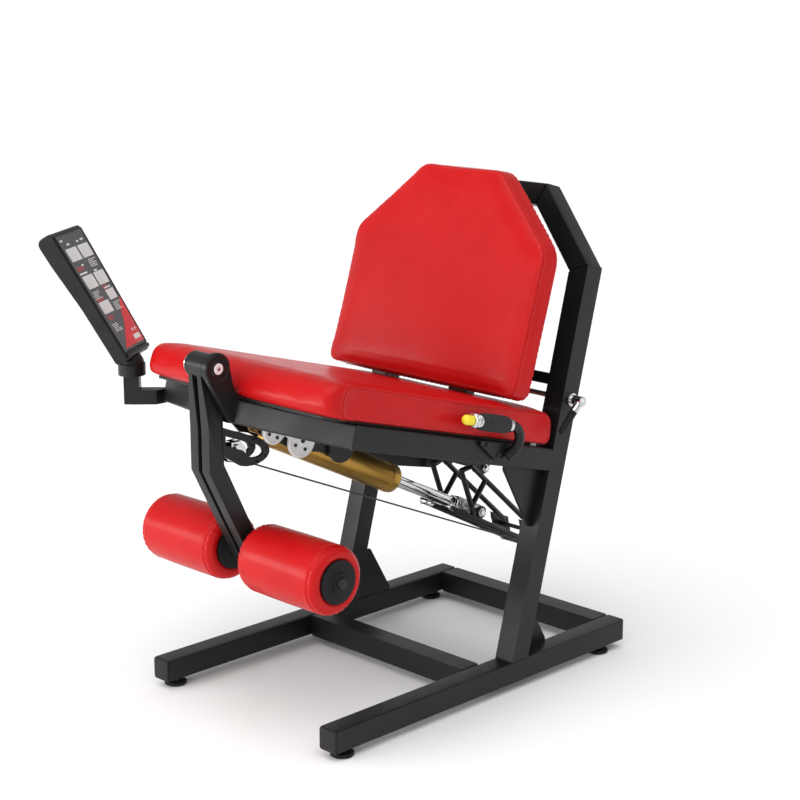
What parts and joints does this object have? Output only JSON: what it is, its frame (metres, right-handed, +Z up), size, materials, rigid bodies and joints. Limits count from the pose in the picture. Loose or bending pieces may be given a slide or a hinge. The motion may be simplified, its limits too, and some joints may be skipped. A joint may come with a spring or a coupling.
{
  "type": "leg extension machine",
  "caption": "Seated leg extension machine with a leaning steel frame, padded seat and back, swinging knee lever with shin rollers, pneumatic cylinder, side grips and a display.",
  "frame": {"origin": "on the floor, under the middle of the whole machine's bounding box", "axes": "+Z up, +X towards the user's left hand, -Y the way the user faces, so the display stands on the -X side at the front"},
  "size_m": [0.885, 1.0832, 1.1371],
  "materials": {
    "frame_paint": "satin",
    "lever_paint": "satin",
    "red_vinyl": "satin",
    "gold_anodised": "gloss",
    "chrome": "polished",
    "steel": "satin",
    "cable_steel": "satin",
    "black_rubber": "matte",
    "grip_foam": "matte",
    "white_nylon": "satin",
    "backing_board": "matte",
    "yellow_plastic": "gloss",
    "housing_plastic": "matte",
    "membrane": "satin"
  },
  "bodies": {
    "frame": {"anchor_disc": "white_nylon", "back_column": "frame_paint", "back_cross_bar": "frame_paint", "back_hoop_left": "frame_paint", "back_hoop_right": "frame_paint", "back_hoop_top": "frame_paint", "base_cross_tube": "frame_paint", "base_rear_tube": "frame_paint", "base_side_tube_left": "frame_paint", "base_side_tube_right": "frame_paint", "button_nut_left": "chrome", "button_nut_right": "chrome", "console_bracket": "frame_paint", "cylinder_bracket_left": "frame_paint", "cylinder_bracket_right": "frame_paint", "foot_front_left": "black_rubber", "foot_front_right": "black_rubber", "foot_rear_left": "black_rubber", "foot_rear_right": "black_rubber", "front_rail_center": "frame_paint", "front_rail_left": "frame_paint", "front_rail_right": "frame_paint", "grip_left": "grip_foam", "grip_right": "grip_foam", "guide_disc": "white_nylon", "handle_left": "frame_paint", "handle_right": "frame_paint", "knee_axle": "chrome", "knee_pivot_plate": "frame_paint", "post_left": "frame_paint", "post_right": "frame_paint", "rear_crossmember": "frame_paint", "seat_board": "backing_board", "seat_pad": "red_vinyl", "seat_rail_left": "frame_paint", "seat_rail_right": "frame_paint", "truss_beam_left": "frame_paint", "truss_beam_right": "frame_paint"},
    "lever": {"lever_hub": "lever_paint", "lever_bar_left": "lever_paint", "lever_bar_right": "lever_paint", "cable_shackle": "chrome", "roller_axle": "steel"},
    "roller_left": {"roller_pad_left": "red_vinyl", "roller_disc_left": "black_rubber"},
    "roller_right": {"roller_pad_right": "red_vinyl", "roller_disc_right": "black_rubber"},
    "cable": {"resistance_cable": "cable_steel"},
    "truss": {"truss_arm": "frame_paint"},
    "barrel": {"cylinder_barrel": "gold_anodised"},
    "rod": {"cylinder_rod": "chrome"},
    "back": {"back_pad": "red_vinyl", "back_board": "backing_board", "back_slide": "steel"},
    "release": {"release_lever": "steel"},
    "console": {"console_housing": "housing_plastic", "console_face": "membrane"},
    "button_left": {"thumb_button_left": "yellow_plastic"},
    "button_right": {"thumb_button_right": "yellow_plastic"}
  },
  "joints": [
    {"name": "lever_swing", "type": "hinge", "parent": "frame", "child": "lever", "pos_m": [0.09251, -0.46843, 0.793], "axis": [-1, 0, 0], "range_deg": [0, 90]},
    {"name": "roller_left_spin", "type": "hinge", "parent": "lever", "child": "roller_left", "pos_m": [0.09251, -0.36144, 0.376], "axis": [1, 0, 0], "continuous": true},
    {"name": "roller_right_spin", "type": "hinge", "parent": "lever", "child": "roller_right", "pos_m": [0.09251, -0.36144, 0.376], "axis": [1, 0, 0], "continuous": true},
    {"name": "cable_swing", "type": "hinge", "parent": "lever", "child": "cable", "pos_m": [0.09251, -0.38743, 0.583], "axis": [1, 0, 0], "range_deg": [0, 80]},
    {"name": "truss_swing", "type": "hinge", "parent": "frame", "child": "truss", "pos_m": [0.09251, 0.29857, 0.442], "axis": [-1, 0, 0], "range_deg": [0, 74]},
    {"name": "barrel_tilt", "type": "hinge", "parent": "frame", "child": "barrel", "pos_m": [0.09251, -0.32743, 0.642], "axis": [1, 0, 0], "range_deg": [0, 1]},
    {"name": "rod_slide", "type": "slide", "parent": "barrel", "child": "rod", "axis": [0, -0.8978, 0.4405], "range_m": [0, 0.138]},
    {"name": "back_slide", "type": "slide", "parent": "frame", "child": "back", "axis": [0, -0.9659, 0.2588], "range_m": [0, 0.08]},
    {"name": "release_pull", "type": "hinge", "parent": "frame", "child": "release", "pos_m": [0.09251, 0.32953, 0.63827], "axis": [-1, 0, 0], "range_deg": [0, 30], "stiffness_Nm_per_rad": 1.5, "springref_deg": -20.05},
    {"name": "console_turn", "type": "hinge", "parent": "frame", "child": "console", "pos_m": [-0.25649, -0.38504, 0.732], "axis": [0, 0, 1], "range_deg": [-30, 30]},
    {"name": "button_left_press", "type": "slide", "parent": "frame", "child": "button_left", "axis": [0, 0.9659, -0.2588], "range_m": [0, 0.006], "stiffness_N_per_m": 600, "springref_m": -0.002},
    {"name": "button_right_press", "type": "slide", "parent": "frame", "child": "button_right", "axis": [0, 0.9659, -0.2588], "range_m": [0, 0.006], "stiffness_N_per_m": 600, "springref_m": -0.002}
  ],
  "couplings": [
    {"joint": "cable_swing", "follows": "lever_swing", "ratio": 0.885},
    {"joint": "truss_swing", "follows": "lever_swing", "ratio": 0.8206},
    {"joint": "barrel_tilt", "follows": "lever_swing", "ratio": 0.0101},
    {"joint": "rod_slide", "follows": "lever_swing", "m_per_rad": 0.08762}
  ]
}
